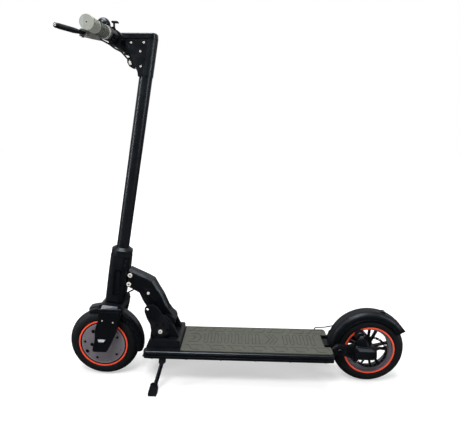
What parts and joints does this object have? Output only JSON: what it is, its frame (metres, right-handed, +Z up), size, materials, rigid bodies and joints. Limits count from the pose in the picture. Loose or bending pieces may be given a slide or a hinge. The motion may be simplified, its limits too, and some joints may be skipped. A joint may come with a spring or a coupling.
{
  "type": "electric kick scooter",
  "caption": "Two-wheeled electric kick scooter with a flat deck, folding stem, hub motor front wheel, sprung rear arms, disc brake, kickstand, bell and low handlebar",
  "frame": {"origin": "on the ground on the middle plane, midway between the two wheel axles", "axes": "+X points ahead, +Y to the rider's left, +Z up"},
  "size_m": [1.217, 0.5412, 1.2112],
  "materials": {
    "tyre_rubber": "matt black rubber tread",
    "black_alloy": "satin black powder coat",
    "black_plastic": "satin black moulded plastic",
    "gloss_black": "gloss black moulded plastic",
    "hub_grey": "satin dark grey paint",
    "orange_ring": "satin orange paint",
    "bare_alloy": "brushed aluminium",
    "steel": "brushed steel",
    "grey_alloy": "satin grey alloy",
    "dark_steel": "dark blued steel",
    "stainless": "bright stainless steel",
    "grip_rubber": "matt grey-green rubber",
    "mat_rubber": "matt grey-green rubber mat",
    "cable_black": "matt black cable sheath",
    "lamp_lens": "clear lamp lens",
    "tail_lens": "gloss red lens",
    "battery_case": "matt wrapped pack"
  },
  "bodies": {
    "deck": {"deck_frame": "black_alloy", "deck_base_plate": "black_alloy", "deck_screws": "steel", "deck_mat": "mat_rubber", "battery_pack": "battery_case", "motor_controller": "black_plastic", "fold_bracket": "black_alloy", "fold_axle": "steel", "pedal_bolt": "stainless", "charge_socket": "black_plastic", "rear_mudguard": "black_plastic", "taillight": "tail_lens", "taillight_cable": "cable_black", "swing_pins": "dark_steel", "kickstand_bracket": "black_alloy"},
    "neck": {"head_tube": "black_alloy", "headset_bearings": "steel", "neck_arm": "black_alloy", "neck_bolts": "stainless", "front_motor_cable": "cable_black"},
    "steering": {"fork": "black_alloy", "fork_covers": "black_plastic", "front_axle": "steel", "motor_stator": "steel", "front_mudguard": "gloss_black", "stem_collar": "black_alloy", "stem_tube": "black_alloy", "gooseneck": "black_alloy", "gooseneck_screws": "stainless", "display_unit": "gloss_black", "handlebar": "black_alloy", "grips": "grip_rubber", "brake_perch": "grey_alloy", "brake_cable": "cable_black", "cable_guide": "black_plastic", "bell_body": "black_alloy", "throttle_housing": "black_plastic", "headlight": "black_plastic", "headlight_lens": "lamp_lens"},
    "front_wheel": {"front_tyre": "tyre_rubber", "motor_shell": "black_alloy", "motor_cover": "hub_grey", "front_rings": "orange_ring", "front_bearings": "steel"},
    "rear_arms": {"rear_arm": "black_alloy", "rear_axle": "steel", "brake_caliper": "black_alloy"},
    "rear_wheel": {"rear_tyre": "tyre_rubber", "rear_rim": "black_alloy", "brake_disc": "dark_steel", "rear_rings": "orange_ring", "rear_bearings": "steel"},
    "brake_lever": {"brake_lever": "black_alloy"},
    "throttle_lever": {"throttle_lever": "black_plastic"},
    "bell_striker": {"bell_striker": "black_plastic"},
    "fold_pedal": {"fold_pedal": "black_alloy"},
    "kickstand": {"kickstand_leg": "black_alloy"},
    "power_button": {"power_button": "bare_alloy"},
    "charge_cap": {"charge_cap": "black_plastic"}
  },
  "joints": [
    {"name": "stem_fold", "type": "hinge", "parent": "deck", "child": "neck", "pos_m": [0.2415, 0, 0.222], "axis": [0, -1, 0], "range_deg": [0, 88]},
    {"name": "steering_turn", "type": "hinge", "parent": "neck", "child": "steering", "pos_m": [0.46476, 0, 0.12405], "axis": [-0.1736, 0, 0.9848], "range_deg": [-50, 50]},
    {"name": "front_wheel_spin", "type": "hinge", "parent": "steering", "child": "front_wheel", "pos_m": [0.4815, 0, 0.127], "axis": [0, 1, 0], "continuous": true},
    {"name": "rear_suspension", "type": "hinge", "parent": "deck", "child": "rear_arms", "pos_m": [-0.3685, 0, 0.144], "axis": [0, 1, 0], "range_deg": [0, 6], "stiffness_Nm_per_rad": 400, "springref_deg": -2.58},
    {"name": "rear_wheel_spin", "type": "hinge", "parent": "rear_arms", "child": "rear_wheel", "pos_m": [-0.4815, 0, 0.127], "axis": [0, 1, 0], "continuous": true},
    {"name": "brake_lever_pull", "type": "hinge", "parent": "steering", "child": "brake_lever", "pos_m": [0.43955, 0.148, 1.15972], "axis": [-0.1728, 0.0958, 0.9803], "range_deg": [0, 22], "stiffness_Nm_per_rad": 0.6, "springref_deg": -11.46},
    {"name": "throttle_press", "type": "hinge", "parent": "steering", "child": "throttle_lever", "pos_m": [0.37886, -0.138, 1.16403], "axis": [0.0203, -0.9988, -0.0456], "range_deg": [0, 35], "stiffness_Nm_per_rad": 0.15, "springref_deg": -17.19},
    {"name": "bell_strike", "type": "hinge", "parent": "steering", "child": "bell_striker", "pos_m": [0.36571, 0.096, 1.18349], "axis": [0, -1, 0], "range_deg": [0, 20], "stiffness_Nm_per_rad": 0.05, "springref_deg": -17.19},
    {"name": "pedal_release", "type": "hinge", "parent": "deck", "child": "fold_pedal", "pos_m": [0.2645, 0, 0.194], "axis": [0, 1, 0], "range_deg": [0, 14], "stiffness_Nm_per_rad": 6, "springref_deg": -11.46},
    {"name": "kickstand_fold", "type": "hinge", "parent": "deck", "child": "kickstand", "pos_m": [0.2535, 0.083, 0.098], "axis": [0, 0.9017, 0.4324], "range_deg": [0, 100]},
    {"name": "power_press", "type": "slide", "parent": "steering", "child": "power_button", "axis": [0, 0, -1], "range_m": [0, 0.0012], "stiffness_N_per_m": 400, "springref_m": -0.001},
    {"name": "charge_cap_open", "type": "hinge", "parent": "deck", "child": "charge_cap", "pos_m": [0.2585, -0.0974, 0.1372], "axis": [-1, 0, 0], "range_deg": [0, 100]}
  ]
}
